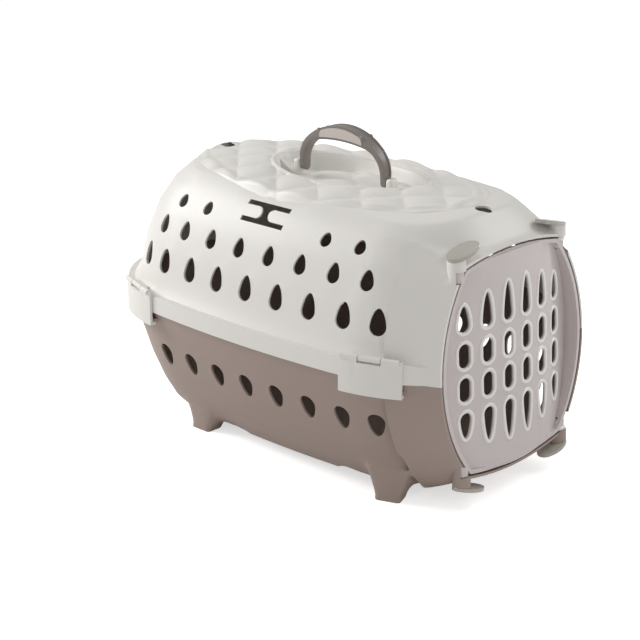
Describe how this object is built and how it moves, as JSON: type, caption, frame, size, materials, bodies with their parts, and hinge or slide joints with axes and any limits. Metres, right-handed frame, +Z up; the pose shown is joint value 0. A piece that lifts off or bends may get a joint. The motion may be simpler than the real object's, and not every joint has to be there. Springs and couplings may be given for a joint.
{
  "type": "pet carrier",
  "caption": "Small rigid pet carrier with two clipped half shells, a quilted roof, a clear pierced door and a folding carry handle.",
  "frame": {"origin": "on the ground under the middle of the carrier's overall box", "axes": "+X towards the door, +Z up, +Y to the carrier's left"},
  "size_m": [0.5074, 0.33, 0.3405],
  "materials": {
    "lower_plastic": "satin moulded polypropylene, taupe",
    "upper_plastic": "satin moulded polypropylene, warm white",
    "clear_plastic": "clear moulded polystyrene with a grey-brown smoke tint",
    "handle_plastic": "semi-gloss grey-taupe moulded plastic",
    "insert_plastic": "pale pinkish grey moulded plastic, blank"
  },
  "bodies": {
    "shell": {"lower_shell": "lower_plastic", "upper_shell": "upper_plastic"},
    "door": {"door": "clear_plastic"},
    "pin_top_right": {"pin_top_right": "clear_plastic"},
    "pin_top_left": {"pin_top_left": "clear_plastic"},
    "pin_bottom_right": {"pin_bottom_right": "clear_plastic"},
    "pin_bottom_left": {"pin_bottom_left": "clear_plastic"},
    "clip_front_right": {"clip_front_right": "upper_plastic"},
    "clip_front_left": {"clip_front_left": "upper_plastic"},
    "clip_rear_right": {"clip_rear_right": "upper_plastic"},
    "clip_rear_left": {"clip_rear_left": "upper_plastic"},
    "handle": {"carry_handle": "handle_plastic", "grip_insert": "insert_plastic"}
  },
  "joints": [
    {"name": "door_hinge", "type": "hinge", "parent": "shell", "child": "door", "pos_m": [0.23401, 0.08, 0.14261], "axis": [-0.0593, 0, 0.9982], "range_deg": [0, 115]},
    {"name": "pin_top_right_slide", "type": "slide", "parent": "shell", "child": "pin_top_right", "axis": [-0.0593, 0, 0.9982], "range_m": [0, 0.03]},
    {"name": "pin_top_left_slide", "type": "slide", "parent": "shell", "child": "pin_top_left", "axis": [-0.0593, 0, 0.9982], "range_m": [0, 0.03]},
    {"name": "pin_bottom_right_slide", "type": "slide", "parent": "shell", "child": "pin_bottom_right", "axis": [0.0593, 0, -0.9982], "range_m": [0, 0.03]},
    {"name": "pin_bottom_left_slide", "type": "slide", "parent": "shell", "child": "pin_bottom_left", "axis": [0.0593, 0, -0.9982], "range_m": [0, 0.03]},
    {"name": "clip_front_right_hinge", "type": "hinge", "parent": "shell", "child": "clip_front_right", "pos_m": [0.17952, -0.14849, 0.1636], "axis": [-0.9421, -0.3355, 0], "range_deg": [0, 100]},
    {"name": "clip_front_left_hinge", "type": "hinge", "parent": "shell", "child": "clip_front_left", "pos_m": [0.17952, 0.14849, 0.1636], "axis": [0.9421, -0.3355, 0], "range_deg": [0, 100]},
    {"name": "clip_rear_right_hinge", "type": "hinge", "parent": "shell", "child": "clip_rear_right", "pos_m": [-0.15674, -0.15124, 0.1636], "axis": [-0.9455, 0.3256, 0], "range_deg": [0, 100]},
    {"name": "clip_rear_left_hinge", "type": "hinge", "parent": "shell", "child": "clip_rear_left", "pos_m": [-0.15674, 0.15124, 0.1636], "axis": [0.9455, 0.3256, 0], "range_deg": [0, 100]},
    {"name": "handle_fold", "type": "hinge", "parent": "shell", "child": "handle", "pos_m": [0.009, 0, 0.288], "axis": [-1, 0, 0], "range_deg": [0, 88]}
  ]
}
